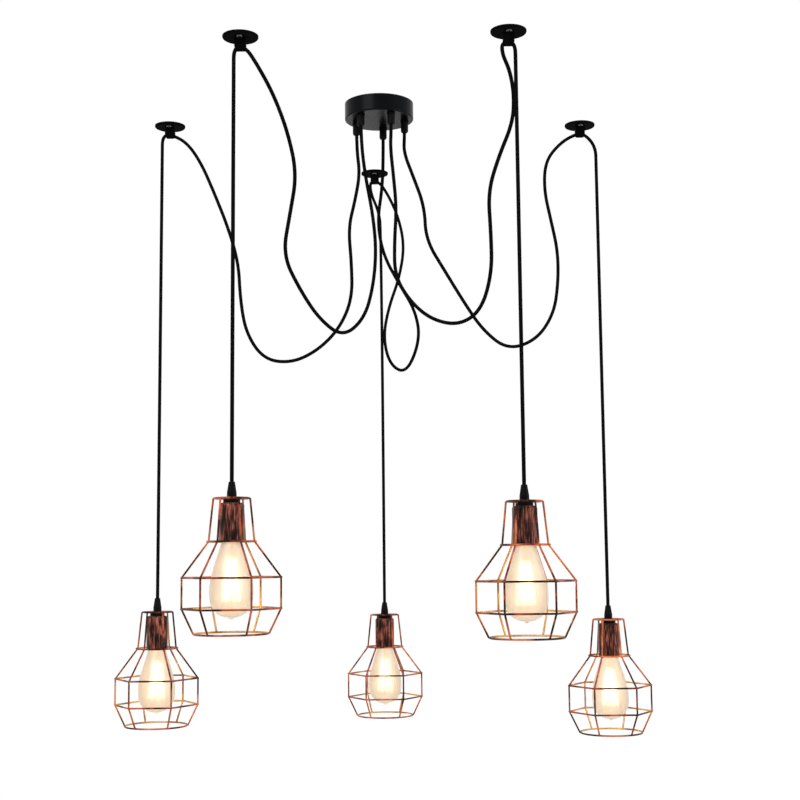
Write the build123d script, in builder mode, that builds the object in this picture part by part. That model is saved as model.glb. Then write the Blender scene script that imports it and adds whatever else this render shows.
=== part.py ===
from build123d import *
import math
import os

os.makedirs("parts", exist_ok=True)

# Cluster pendant light: five caged lamps on fabric cords, swagged from one ceiling rose over five
# ceiling hooks. Millimetres, +Z up. The ceiling is the plane z = 0, the rose hangs from the origin,
# +X is to the right and +Y is away from the person who looks at the light.

# Shared clearances
clearance = 0.3
thread_clearance = 0.15
cut_extra = 1.0

# Fabric cord and the M10 threads of every cord grip
cord_diameter = 6.0
thread_diameter = 9.9

# Ceiling rose
rose_diameter = 120.0
rose_height = 29.0
rose_wall = 1.5
rose_edge_radius = 2.2
rose_inner_radius = 0.6
grip_circle_diameter = 90.0
grip_count = 5
first_grip_angle = 10.0
rose_grip_diameter = 13.0
rose_grip_length = 20.0
rose_grip_nose_diameter = 10.4
rose_grip_nose_height = 2.6
rose_grip_flange_diameter = 14.4
rose_grip_flange_height = 2.2
rose_thread_length = 8.0
nut_across_flats = 14.0
nut_height = 3.5

# Ceiling bracket, its screws and the terminal block
bracket_width = 20.0
bracket_thickness = 2.0
bracket_ear_height = 15.0
bracket_hole_diameter = 5.2
bracket_hole_circle = 60.0
side_screw_height = 9.0
side_screw_diameter = 3.9
side_screw_length = 9.0
driver_slot_width = 1.2
driver_slot_depth = 1.1
terminal_length = 34.0
terminal_width = 17.0
terminal_height = 12.0
terminal_poles = 3
terminal_post_diameter = 8.0
terminal_post_height = 3.0
terminal_bore_diameter = 3.4
terminal_screw_bore = 4.2

# Ceiling hook
hook_disc_diameter = 55.0
hook_disc_thickness = 4.0
hook_disc_edge_radius = 2.4
hook_strap_width = 17.0
hook_strap_thickness = 3.2
hook_throat = 8.0
hook_lip_rise = 5.0
hook_corner_radius = 6.0
hook_cord_depth = 17.7
hook_saddle_radius = 10.2
saddle_side_clearance = 0.7
hook_screw_circle = 26.0
hook_screw_diameter = 4.2
hook_screw_head_diameter = 9.0
hook_screw_head_height = 2.4
hook_screw_head_crown = 1.3

# Where the five hooks are screwed to the ceiling, seen from the rose
left_hook_x = -385.0
left_hook_y = 108.0
near_left_hook_x = -206.0
near_left_hook_y = -322.0
far_hook_x = -16.0
far_hook_y = 429.0
near_right_hook_x = 201.5
near_right_hook_y = -333.0
right_hook_x = 368.5
right_hook_y = 125.0

# How far each lamp's top ring hangs below the ceiling
left_lamp_depth = 882.0
near_left_lamp_depth = 703.0
far_lamp_depth = 903.0
near_right_lamp_depth = 712.0
right_lamp_depth = 903.0

# How far beside its hook each lamp hangs, and how far below the ceiling its straight cord starts
left_lamp_offset = -14.0
near_left_lamp_offset = -10.0
far_lamp_offset = 13.0
near_right_lamp_offset = 10.0
right_lamp_offset = 28.5
short_bow_depth = 39.0
right_bow_depth = 76.0
far_bow_depth = 150.0

# Wire cage, levels below its top ring and radii to the centre of the bent ribs
cage_sides = 6
cage_wire = 3.0
cage_top_radius = 27.0
cage_collar_radius = 33.5
cage_belly_radius = 72.3
cage_mouth_radius = 55.0
collar_ring_offset = 2.1
cage_ring_offset = 1.2
cage_neck_height = 63.0
cage_shoulder_height = 52.0
cage_belly_height = 45.0
cage_skirt_height = 36.0
cage_bend_radius = 4.0
cage_bar_width = 12.0
cage_bar_thickness = 2.4

# Cord grip on the lamp
lamp_grip_height = 23.0
lamp_grip_foot_flats = 12.6
lamp_grip_foot_height = 4.0
lamp_grip_hem_diameter = 14.2
lamp_grip_hem_height = 3.0
lamp_grip_tip_diameter = 9.2
lamp_thread_length = 9.0

# Lampholder and its copper sleeve
holder_neck_diameter = 25.0
holder_neck_height = 5.4
holder_diameter = 33.0
holder_height = 57.5
holder_shoulder_radius = 3.0
holder_roof = 7.0
holder_chamber_diameter = 24.0
holder_chamber_height = 22.0
holder_floor = 3.7
sleeve_diameter = 37.0
sleeve_wall = 1.0
sleeve_height = 57.5
sleeve_shoulder_radius = 4.5

# Screw-in bulb
bulb_cap_diameter = 26.2
bulb_cap_wall = 0.8
bulb_cap_height = 25.0
bulb_thread_pitch = 3.6
bulb_thread_turns = 5
bulb_thread_depth = 1.1
bulb_contact_diameter = 9.0
bulb_contact_height = 1.5
bulb_insulator_height = 4.0
bulb_insulator_diameter = 20.0
bulb_glass_diameter = 64.0
bulb_glass_length = 118.0
bulb_glass_wall = 0.9
bulb_neck_length = 6.0
bulb_outline_shares = [
    (0.48, 0.06), (0.65, 0.21), (0.825, 0.365), (0.95, 0.505), (1.0, 0.635),
    (0.98, 0.74), (0.865, 0.84), (0.625, 0.913), (0.31, 0.953),
]
bulb_shoulder_share = 0.425
bulb_tip_share = (0.12, 0.962)
filament_count = 8
filament_wire = 0.9
filament_top_radius = 6.0
filament_bottom_radius = 13.0
filament_height = 62.0
stem_tip_diameter = 5.0
stem_height = 34.0
stem_rod_diameter = 2.6

# Cord routes in millimetres: the points between the rose's grip and the hook, then any points
# of the bow between the hook and the straight stretch to the lamp.
swag_routes = {
    1: [
        (-39, 21, -150), (-50, 25, -215), (-48, 28, -275), (-56, 31, -340), (-75, 36, -395),
        (-112, 46, -432), (-158, 56, -452), (-206, 67, -440), (-238, 77, -392), (-250, 81, -330),
        (-258, 86, -262), (-275, 92, -195), (-300, 99, -130), (-328, 104, -74), (-356, 108, -36),
    ],
    2: [
        (-25, -36, -140), (-15, -42, -205), (-9, -49, -270), (-12, -60, -335), (-27, -78, -395),
        (-62, -108, -432), (-98, -150, -412), (-128, -190, -370), (-148, -222, -318),
        (-143, -232, -256), (-129, -246, -195), (-139, -266, -135), (-158, -292, -82),
        (-181, -322, -44),
    ],
    3: [
        (3, 53, -135), (-6, 74, -192), (4, 106, -246), (32, 140, -292), (60, 180, -335),
        (72, 214, -386), (52, 248, -440), (18, 286, -420), (3, 322, -362), (14, 356, -296),
        (34, 384, -230), (42, 405, -160), (32, 420, -95), (12, 429, -44),
    ],
    4: [
        (22, -45, -138), (29, -53, -200), (25, -62, -262), (25, -74, -322), (48, -98, -372),
        (82, -134, -412), (126, -176, -430), (160, -222, -410), (177, -250, -355),
        (176, -268, -295), (171, -280, -235), (186, -291, -182), (206, -302, -134),
        (210, -314, -94), (203, -327, -60), (191.5, -333, -36.5),
    ],
    5: [
        (57, 11, -122), (74, 17, -180), (84, 24, -238), (112, 34, -292), (143, 46, -342),
        (180, 60, -390), (226, 74, -422), (276, 88, -405), (308, 99, -358), (320, 106, -300),
        (321, 110, -240), (312, 113, -182), (302, 115, -125), (306, 118, -72), (334, 125, -36),
    ],
}
bow_routes = {1: [], 2: [], 3: [(-28, 429, -50), (-3, 429, -105)], 4: [], 5: [(397, 125, -42)]}

# The cord starts inside the rose, and its first run ends this far below the ceiling.
cord_start_depth = 16.0
first_run_depths = {1: 75.0, 2: 75.0, 3: 75.0, 4: 75.0, 5: 68.0}

# Corners of the route over each hook, measured along the hook's width from its middle:
# the slack side first, then the lamp's side.
hook_corners = {1: (6.0, -14.0), 2: (8.0, -10.0), 3: (8.0, -10.0), 4: (-10.0, 10.0), 5: (-8.0, 9.0)}
over_hook_radius = 9.8
run_share = 0.45

# Derived sizes
cord_bore = cord_diameter + 2 * clearance
thread_hole = thread_diameter + 2 * clearance
grip_order = {1: 2, 2: 3, 3: 1, 4: 4, 5: 0}
lamp_numbers = (1, 2, 3, 4, 5)
hook_places = {
    1: (left_hook_x, left_hook_y),
    2: (near_left_hook_x, near_left_hook_y),
    3: (far_hook_x, far_hook_y),
    4: (near_right_hook_x, near_right_hook_y),
    5: (right_hook_x, right_hook_y),
}
lamp_offsets = {
    1: left_lamp_offset,
    2: near_left_lamp_offset,
    3: far_lamp_offset,
    4: near_right_lamp_offset,
    5: right_lamp_offset,
}
lamp_depths = {
    1: left_lamp_depth,
    2: near_left_lamp_depth,
    3: far_lamp_depth,
    4: near_right_lamp_depth,
    5: right_lamp_depth,
}
bow_depths = {
    1: short_bow_depth,
    2: short_bow_depth,
    3: far_bow_depth,
    4: short_bow_depth,
    5: right_bow_depth,
}


def lamp_place(number):
    """Centre of a lamp's top ring."""
    x, y = hook_places[number]
    return (x + lamp_offsets[number], y, -lamp_depths[number])


def grip_place(number):
    """Centre of a cord's grip on the rose, seen from below the ceiling."""
    angle = math.radians(first_grip_angle + grip_order[number] * 360 / grip_count)
    radius = grip_circle_diameter / 2
    return (radius * math.cos(angle), radius * math.sin(angle))


def write_piece(piece, name):
    """Label a finished piece and write it to its own file."""
    piece.part.label = name
    export_step(piece.part, f"parts/{name}.step")


def write_copies(master, name, places):
    """Write one copy of a piece at each numbered place."""
    for number, place in places.items():
        with BuildPart() as copy:
            with Locations(place):
                add(master.part)
        write_piece(copy, f"{name}_{number}")


def write_group(master, name, places):
    """Write the same fastener at every place as one group of separate solids."""
    with BuildPart() as group:
        with Locations(*places):
            add(master.part)
    write_piece(group, name)


# Ceiling rose cover: a pressed cup with a rounded lower edge and five holes in its underside
rose_radius = rose_diameter / 2
rose_floor_top = rose_wall - rose_height
side_screw_hole = side_screw_diameter + 2 * clearance
with BuildPart() as rose_cover:
    with BuildSketch() as cover_outline:
        Circle(rose_radius)
    extrude(amount=-rose_height)
    fillet(rose_cover.edges().group_by(Axis.Z)[0], rose_edge_radius)
    with BuildSketch() as cover_hollow:
        Circle(rose_radius - rose_wall)
    extrude(amount=rose_floor_top, mode=Mode.SUBTRACT)
    hollow_floor = rose_cover.edges().filter_by(GeomType.CIRCLE).filter_by_position(
        Axis.Z, rose_floor_top - clearance, rose_floor_top + clearance
    )
    fillet(hollow_floor, rose_inner_radius)
    with BuildSketch(Plane.XY.offset(rose_floor_top)) as grip_holes:
        with PolarLocations(grip_circle_diameter / 2, grip_count, start_angle=first_grip_angle):
            Circle(thread_hole / 2)
    extrude(amount=-2 * rose_wall, mode=Mode.SUBTRACT)
    with BuildSketch(Plane.YZ) as side_holes:
        with Locations((0, -side_screw_height)):
            Circle(side_screw_hole / 2)
    extrude(amount=rose_diameter, both=True, mode=Mode.SUBTRACT)
write_piece(rose_cover, "rose_cover")

# Ceiling bracket: a flat strap against the ceiling with an ear turned down at each end
bracket_half_length = rose_radius - rose_wall - clearance
with BuildPart() as rose_bracket:
    with BuildSketch(Plane.XZ.offset(-bracket_width / 2)) as bracket_profile:
        with BuildLine():
            Polyline(
                (-bracket_half_length, -bracket_ear_height),
                (-bracket_half_length, 0),
                (bracket_half_length, 0),
                (bracket_half_length, -bracket_ear_height),
                (bracket_half_length - bracket_thickness, -bracket_ear_height),
                (bracket_half_length - bracket_thickness, -bracket_thickness),
                (bracket_thickness - bracket_half_length, -bracket_thickness),
                (bracket_thickness - bracket_half_length, -bracket_ear_height),
                close=True,
            )
        make_face()
    extrude(amount=bracket_width)
    # The ears' outer faces follow the round cover.
    with BuildSketch() as bracket_round:
        Circle(bracket_half_length)
    extrude(amount=-bracket_ear_height, mode=Mode.INTERSECT)
    with BuildSketch() as ceiling_holes:
        with PolarLocations(bracket_hole_circle / 2, 2):
            Circle(bracket_hole_diameter / 2)
    extrude(amount=-bracket_thickness, mode=Mode.SUBTRACT)
    with BuildSketch(Plane.YZ) as ear_holes:
        with Locations((0, -side_screw_height)):
            Circle(side_screw_diameter / 2 + thread_clearance)
    extrude(amount=bracket_half_length + cut_extra, both=True, mode=Mode.SUBTRACT)
write_piece(rose_bracket, "rose_bracket")

# The two side screws: slotted grub screws, flush with the cover, that pin it to the bracket's ears
screw_end = rose_radius - clearance
with BuildPart() as side_screw:
    with BuildSketch(Plane.YZ.offset(screw_end)) as side_shank:
        Circle(side_screw_diameter / 2)
    extrude(amount=-side_screw_length)
    with BuildSketch(Plane.YZ.offset(screw_end)) as side_slot:
        Rectangle(2 * side_screw_diameter, driver_slot_width)
    extrude(amount=-driver_slot_depth, mode=Mode.SUBTRACT)
with BuildPart() as rose_side_screws:
    with Locations((0, 0, -side_screw_height)):
        with PolarLocations(0, 2):
            add(side_screw.part)
write_piece(rose_side_screws, "rose_side_screws")

# Terminal block: three poles in a white block that hangs under the strap
pole_spacing = terminal_length / terminal_poles
post_bottom = -bracket_thickness - terminal_height - terminal_post_height
with BuildPart() as terminal_block:
    with BuildSketch(Plane.XY.offset(-bracket_thickness)) as block_outline:
        RectangleRounded(terminal_length, terminal_width, terminal_post_height)
    extrude(amount=-terminal_height)
    with BuildSketch(Plane.XY.offset(-bracket_thickness - terminal_height)) as posts:
        with GridLocations(pole_spacing, terminal_post_diameter, terminal_poles, 2):
            Circle(terminal_post_diameter / 2 - clearance)
    extrude(amount=-terminal_post_height)
    with BuildSketch(Plane.XY.offset(post_bottom)) as screw_bores:
        with GridLocations(pole_spacing, terminal_post_diameter, terminal_poles, 2):
            Circle(terminal_screw_bore / 2)
    extrude(amount=terminal_height / 2, mode=Mode.SUBTRACT)
    with BuildSketch(Plane.XZ) as wire_bores:
        with Locations((0, -bracket_thickness - terminal_height / 2)):
            with GridLocations(pole_spacing, terminal_bore_diameter, terminal_poles, 1):
                Circle(terminal_bore_diameter / 2)
    extrude(amount=terminal_width, both=True, mode=Mode.SUBTRACT)
write_piece(terminal_block, "terminal_block")

# Cord grips of the rose: a round body below the cover and a threaded tail through it
rose_grip_bottom = -rose_height - rose_grip_length
nose_top = rose_grip_bottom + rose_grip_nose_height
flange_bottom = -rose_height - rose_grip_flange_height
with BuildPart() as rose_grip:
    with BuildSketch(Plane.XZ) as rose_grip_profile:
        with BuildLine():
            Polyline(
                (cord_bore / 2, rose_grip_bottom),
                (rose_grip_nose_diameter / 2, rose_grip_bottom),
                (rose_grip_diameter / 2, nose_top),
                (rose_grip_diameter / 2, flange_bottom),
                (rose_grip_flange_diameter / 2, flange_bottom),
                (rose_grip_flange_diameter / 2, -rose_height),
                (thread_diameter / 2, -rose_height),
                (thread_diameter / 2, rose_thread_length - rose_height),
                (cord_bore / 2, rose_thread_length - rose_height),
                close=True,
            )
        make_face()
    revolve(axis=Axis.Z)
grip_places = [grip_place(number) for number in lamp_numbers]
write_group(rose_grip, "rose_cord_grips", grip_places)

# Hex nuts that hold the grips from inside the cover
with BuildPart() as grip_nut:
    with BuildSketch(Plane.XY.offset(rose_floor_top)) as nut_outline:
        RegularPolygon(nut_across_flats / 2, 6, major_radius=False)
        Circle(thread_diameter / 2 + thread_clearance, mode=Mode.SUBTRACT)
    extrude(amount=nut_height)
write_group(grip_nut, "rose_grip_nuts", grip_places)

# Ceiling hook: a disc, and a strap that runs down in front of the cord and curls up behind it
throat_radius = hook_throat / 2
strap_outer_radius = throat_radius + hook_strap_thickness
throat_height = throat_radius - cord_diameter / 2 - clearance - hook_cord_depth
hook_bottom = throat_height - strap_outer_radius
strap_middle = throat_radius + hook_strap_thickness / 2
saddle_height = -hook_cord_depth - hook_saddle_radius
with BuildPart() as hook:
    with BuildSketch(Plane.YZ.offset(-hook_strap_width / 2)) as strap_profile:
        with Locations((0, throat_height)):
            Circle(strap_outer_radius)
            Circle(throat_radius, mode=Mode.SUBTRACT)
            Rectangle(
                2 * strap_outer_radius,
                strap_outer_radius,
                align=(Align.CENTER, Align.MIN),
                mode=Mode.SUBTRACT,
            )
        with Locations((-strap_middle, throat_height)):
            Rectangle(hook_strap_thickness, -throat_height, align=(Align.CENTER, Align.MIN))
        with Locations((strap_middle, throat_height)):
            Rectangle(hook_strap_thickness, hook_lip_rise, align=(Align.CENTER, Align.MIN))
        with Locations((strap_middle, throat_height + hook_lip_rise)):
            Circle(hook_strap_thickness / 2)
    extrude(amount=hook_strap_width)
    # Seen from the front, the strap ends in a rounded tongue.
    with BuildSketch(Plane.XZ) as tongue_outline:
        with Locations((0, hook_bottom)):
            Rectangle(hook_strap_width, -hook_bottom, align=(Align.CENTER, Align.MIN))
        fillet(tongue_outline.vertices().group_by(Axis.Y)[0], hook_corner_radius)
    extrude(amount=hook_strap_width, both=True, mode=Mode.INTERSECT)
    # The cord's saddle is rounded across the strap and a little wider than the cord.
    with BuildSketch(Plane.YZ) as saddle_section:
        with Locations((0, saddle_side_clearance - clearance - hook_cord_depth)):
            Circle(cord_diameter / 2 + saddle_side_clearance)
    revolve(axis=Axis((0, 0, saddle_height), (0, 1, 0)), mode=Mode.SUBTRACT)
    with BuildSketch() as disc_outline:
        Circle(hook_disc_diameter / 2)
    extrude(amount=-hook_disc_thickness)
    disc_edge = hook.edges().filter_by(GeomType.CIRCLE).sort_by(SortBy.LENGTH)[-2:].sort_by(Axis.Z)[0]
    fillet(disc_edge, hook_disc_edge_radius)
    with BuildSketch() as disc_holes:
        with PolarLocations(hook_screw_circle / 2, 2, start_angle=90):
            Circle(hook_screw_diameter / 2 + clearance)
    extrude(amount=-hook_disc_thickness, mode=Mode.SUBTRACT)
write_copies(hook, "hook", hook_places)

# Hook screws: slotted domed heads under the disc, with the shank up to the ceiling
with BuildPart() as hook_screw:
    with BuildSketch(Plane.XY.offset(-hook_disc_thickness)) as head_outline:
        Circle(hook_screw_head_diameter / 2)
    extrude(amount=-hook_screw_head_height)
    fillet(hook_screw.faces().sort_by(Axis.Z)[0].edges(), hook_screw_head_crown)
    with BuildSketch(Plane.XY.offset(-hook_disc_thickness - hook_screw_head_height)) as head_slot:
        Rectangle(driver_slot_width, hook_screw_head_diameter)
    extrude(amount=driver_slot_depth, mode=Mode.SUBTRACT)
    with BuildSketch() as shank_outline:
        Circle(hook_screw_diameter / 2)
    extrude(amount=-hook_disc_thickness)
screw_places = []
for hook_x, hook_y in hook_places.values():
    screw_places.append((hook_x, hook_y - hook_screw_circle / 2))
    screw_places.append((hook_x, hook_y + hook_screw_circle / 2))
write_group(hook_screw, "hook_screws", screw_places)


def slack_route(number):
    """Every point of a cord from inside the rose to just above its hinge below the hook."""
    grip_x, grip_y = grip_place(number)
    hook_x, hook_y = hook_places[number]
    slack_corner, lamp_corner = hook_corners[number]
    lamp_x, lamp_y, _ = lamp_place(number)
    return [
        (grip_x, grip_y, -cord_start_depth),
        (grip_x, grip_y, -first_run_depths[number]),
        *swag_routes[number],
        (hook_x + slack_corner, hook_y, -hook_cord_depth),
        (hook_x + lamp_corner, hook_y, -hook_cord_depth),
        *bow_routes[number],
        (lamp_x, lamp_y, cord_diameter / 2 + clearance - bow_depths[number]),
    ]


def corner_radii(points, corners_over_hook):
    """Arc radius at each inner point: the hook's own size at the hook, else what the runs allow."""
    radii = []
    for index in range(1, len(points) - 1):
        before = Vector(points[index]) - Vector(points[index - 1])
        after = Vector(points[index + 1]) - Vector(points[index])
        half_turn = math.radians(before.get_angle(after)) / 2
        allowed = run_share * min(before.length, after.length) / math.tan(half_turn)
        at_hook = index in corners_over_hook
        radii.append(over_hook_radius if at_hook else allowed)
    return radii


# The slack stretch of each cord: out of the rose, down in a swag, up and over the hook
cord_section = math.pi * (cord_diameter / 2) ** 2
for number in lamp_numbers:
    points = slack_route(number)
    hook_index = 2 + len(swag_routes[number])
    radii = corner_radii(points, (hook_index, hook_index + 1))
    with BuildPart() as cord_slack:
        with BuildLine() as slack_path:
            FilletPolyline(*points, radius=radii)
        with BuildSketch(Plane(origin=points[0], z_dir=(0, 0, -1))):
            Circle(cord_diameter / 2)
        sweep(path=slack_path.wires()[0])
    path_length = slack_path.wires()[0].length
    volume_share = cord_slack.part.volume / (cord_section * path_length)
    print(f"cord {number}: slack {path_length:.0f} mm, volume over section times length {volume_share:.4f}")
    print("  radii", " ".join(f"{radius:.0f}" for radius in radii))
    write_piece(cord_slack, f"cord_slack_{number}")

# Straight stretch of each cord: a round top end at the hinge, down into the lampholder
cord_end_depth = holder_roof + holder_chamber_height / 2
for number in lamp_numbers:
    lamp_x, lamp_y, lamp_z = lamp_place(number)
    hinge_height = -bow_depths[number]
    with BuildPart() as cord_drop:
        with BuildSketch(Plane((lamp_x, lamp_y, lamp_z - cord_end_depth))) as drop_section:
            Circle(cord_diameter / 2)
        extrude(amount=hinge_height - lamp_z + cord_end_depth)
        with Locations((lamp_x, lamp_y, hinge_height)):
            Sphere(cord_diameter / 2)
    print(f"cord {number}: straight {hinge_height - lamp_z + cord_end_depth:.0f} mm")
    write_piece(cord_drop, f"cord_drop_{number}")

# Wire cage: six bent ribs, a ring inside their tops, a collar ring and two hexagons welded
# round them, a mouth ring inside their feet, and a flat bar across the top ring
collar_height = -cage_neck_height
belly_top = collar_height - cage_shoulder_height
belly_bottom = belly_top - cage_belly_height
mouth_height = belly_bottom - cage_skirt_height
rib_outline = [
    (cage_top_radius, 0, 0),
    (cage_collar_radius, 0, collar_height),
    (cage_belly_radius, 0, belly_top),
    (cage_belly_radius, 0, belly_bottom),
    (cage_mouth_radius, 0, mouth_height),
]
with BuildPart() as rib:
    with BuildLine() as rib_path:
        FilletPolyline(*rib_outline, radius=cage_bend_radius)
    with BuildSketch(Plane(origin=rib_outline[0], z_dir=rib_path.wires()[0] % 0)):
        Circle(cage_wire / 2)
    sweep(path=rib_path.wires()[0])

hexagon_radius = cage_belly_radius + cage_ring_offset
hexagon_corners = []
for corner in range(cage_sides):
    corner_angle = 2 * math.pi * corner / cage_sides
    corner_x = hexagon_radius * math.cos(corner_angle)
    corner_y = hexagon_radius * math.sin(corner_angle)
    hexagon_corners.append((corner_x, corner_y))
with BuildPart() as hexagon_wire:
    with BuildLine() as hexagon_path:
        FilletPolyline(*hexagon_corners, radius=cage_bend_radius, close=True)
    with BuildSketch(Plane(hexagon_path.wires()[0] @ 0, z_dir=hexagon_path.wires()[0] % 0)):
        Circle(cage_wire / 2)
    sweep(path=hexagon_path.wires()[0])

with BuildPart() as cage:
    with PolarLocations(0, cage_sides):
        add(rib.part)
    with Locations((0, 0, belly_top), (0, 0, belly_bottom)):
        add(hexagon_wire.part)
    Torus(cage_top_radius - cage_ring_offset, cage_wire / 2)
    with Locations((0, 0, collar_height)):
        Torus(cage_collar_radius + collar_ring_offset, cage_wire / 2)
    with Locations((0, 0, mouth_height)):
        Torus(cage_mouth_radius - cage_ring_offset, cage_wire / 2)
    with BuildSketch(Plane.XY.offset(-cage_bar_thickness / 2)) as bar_outline:
        Rectangle(2 * (cage_top_radius - cage_ring_offset), cage_bar_width)
        Circle(thread_hole / 2, mode=Mode.SUBTRACT)
    extrude(amount=cage_bar_thickness)
write_copies(cage, "cage", {number: lamp_place(number) for number in lamp_numbers})

# Lamp's cord grip: a cone with a rolled hem on a hexagonal foot, and a threaded tail
grip_base = cage_bar_thickness / 2
hem_bottom = grip_base + lamp_grip_foot_height
with BuildPart() as lamp_grip:
    with BuildSketch(Plane.XY.offset(grip_base)) as foot_outline:
        RegularPolygon(lamp_grip_foot_flats / 2, 6, major_radius=False)
    extrude(amount=lamp_grip_foot_height)
    with BuildSketch(Plane.XZ) as cone_profile:
        with BuildLine():
            Polyline(
                (0, hem_bottom),
                (lamp_grip_hem_diameter / 2, hem_bottom),
                (lamp_grip_hem_diameter / 2, hem_bottom + lamp_grip_hem_height),
                (lamp_grip_tip_diameter / 2, grip_base + lamp_grip_height),
                (0, grip_base + lamp_grip_height),
                close=True,
            )
        make_face()
    revolve(axis=Axis.Z)
    with BuildSketch(Plane.XY.offset(grip_base)) as tail_outline:
        Circle(thread_diameter / 2)
    extrude(amount=-cage_bar_thickness - lamp_thread_length)
    with BuildSketch(Plane.XY.offset(grip_base + lamp_grip_height)) as cord_hole:
        Circle(cord_bore / 2)
    extrude(
        amount=-lamp_grip_height - cage_bar_thickness - lamp_thread_length, mode=Mode.SUBTRACT
    )
write_copies(lamp_grip, "cord_grip", {number: lamp_place(number) for number in lamp_numbers})

# Lampholder: a neck under the cage's bar, a wiring chamber, and the screw shell below it
holder_top = -cage_bar_thickness / 2
holder_shoulder = holder_top - holder_neck_height
sleeve_top = holder_shoulder
holder_body_top = sleeve_top - sleeve_wall
holder_bottom = holder_top - holder_height
chamber_top = holder_top - holder_roof
chamber_bottom = chamber_top - holder_chamber_height
shell_top = chamber_bottom - holder_floor
shell_radius = bulb_cap_diameter / 2 + clearance
with BuildPart() as lampholder:
    with BuildSketch(Plane.XZ) as holder_profile:
        with BuildLine():
            Polyline(
                (0, holder_top),
                (holder_neck_diameter / 2, holder_top),
                (holder_neck_diameter / 2, holder_body_top),
                (holder_diameter / 2, holder_body_top),
                (holder_diameter / 2, holder_bottom),
                (shell_radius, holder_bottom),
                (shell_radius, shell_top),
                (0, shell_top),
                close=True,
            )
        make_face()
        holder_shoulder_corner = holder_profile.vertices().sort_by(Axis.Y).filter_by_position(
            Axis.Y, holder_body_top - clearance, holder_body_top + clearance
        )
        fillet(holder_shoulder_corner.sort_by(Axis.X)[-1], holder_shoulder_radius)
    revolve(axis=Axis.Z)
    with BuildSketch(Plane.XY.offset(chamber_bottom)) as chamber_outline:
        Circle(holder_chamber_diameter / 2)
    extrude(amount=holder_chamber_height, mode=Mode.SUBTRACT)
    with BuildSketch(Plane.XY.offset(holder_top)) as thread_outline:
        Circle(thread_diameter / 2 + thread_clearance)
    extrude(amount=-holder_roof, mode=Mode.SUBTRACT)
write_copies(lampholder, "lampholder", {number: lamp_place(number) for number in lamp_numbers})

# Copper sleeve: a drawn cup over the lampholder, open at the bottom, with a round shoulder
sleeve_inner = sleeve_diameter / 2 - sleeve_wall
with BuildPart() as sleeve_hollow:
    with BuildSketch(Plane.XY.offset(sleeve_top - sleeve_wall)):
        Circle(sleeve_inner)
    extrude(amount=-sleeve_height)
    fillet(sleeve_hollow.edges().group_by(Axis.Z)[-1], sleeve_shoulder_radius - sleeve_wall)
with BuildPart() as holder_sleeve:
    with BuildSketch(Plane.XY.offset(sleeve_top)) as sleeve_outline:
        Circle(sleeve_diameter / 2)
    extrude(amount=-sleeve_height)
    fillet(holder_sleeve.edges().group_by(Axis.Z)[-1], sleeve_shoulder_radius)
    add(sleeve_hollow.part, mode=Mode.SUBTRACT)
    with BuildSketch(Plane.XY.offset(sleeve_top)) as neck_hole:
        Circle(holder_neck_diameter / 2 + clearance)
    extrude(amount=-sleeve_wall, mode=Mode.SUBTRACT)
write_copies(holder_sleeve, "holder_sleeve", {number: lamp_place(number) for number in lamp_numbers})

# Bulb cap: contact, insulator cone and a rolled screw thread, drawn as rings of one pitch
contact_top = shell_top - clearance
insulator_top = contact_top - bulb_contact_height
thread_top = insulator_top - bulb_insulator_height
cap_rim = contact_top - bulb_cap_height
with BuildPart() as bulb_cap:
    with BuildSketch(Plane.XZ) as cap_profile:
        with BuildLine():
            Polyline(
                (0, contact_top),
                (bulb_contact_diameter / 2, contact_top),
                (bulb_contact_diameter / 2, insulator_top),
                (bulb_insulator_diameter / 2, thread_top),
                (bulb_cap_diameter / 2, thread_top),
                (bulb_cap_diameter / 2, cap_rim),
                (bulb_cap_diameter / 2 - bulb_cap_wall - bulb_thread_depth, cap_rim),
                (bulb_cap_diameter / 2 - bulb_cap_wall - bulb_thread_depth, thread_top - bulb_cap_wall),
                (0, thread_top - bulb_cap_wall),
                close=True,
            )
        make_face()
        for turn in range(bulb_thread_turns):
            with Locations((bulb_cap_diameter / 2, thread_top - (turn + 1 / 2) * bulb_thread_pitch)):
                Ellipse(bulb_thread_depth, bulb_thread_pitch / 4, mode=Mode.SUBTRACT)
    revolve(axis=Axis.Z)
write_copies(bulb_cap, "bulb_cap", {number: lamp_place(number) for number in lamp_numbers})

# Bulb glass: a tall drop with its neck inside the cap and a small drawn-off tip
glass_top = cap_rim - clearance
neck_radius = bulb_cap_diameter / 2 - bulb_cap_wall - bulb_thread_depth - clearance
bulb_radius = bulb_glass_diameter / 2


def glass_point(radius_share, length_share, inset):
    """A point of the bulb's outline, set inwards by the inset."""
    return (radius_share * bulb_radius - inset, glass_top - length_share * bulb_glass_length + inset)


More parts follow.
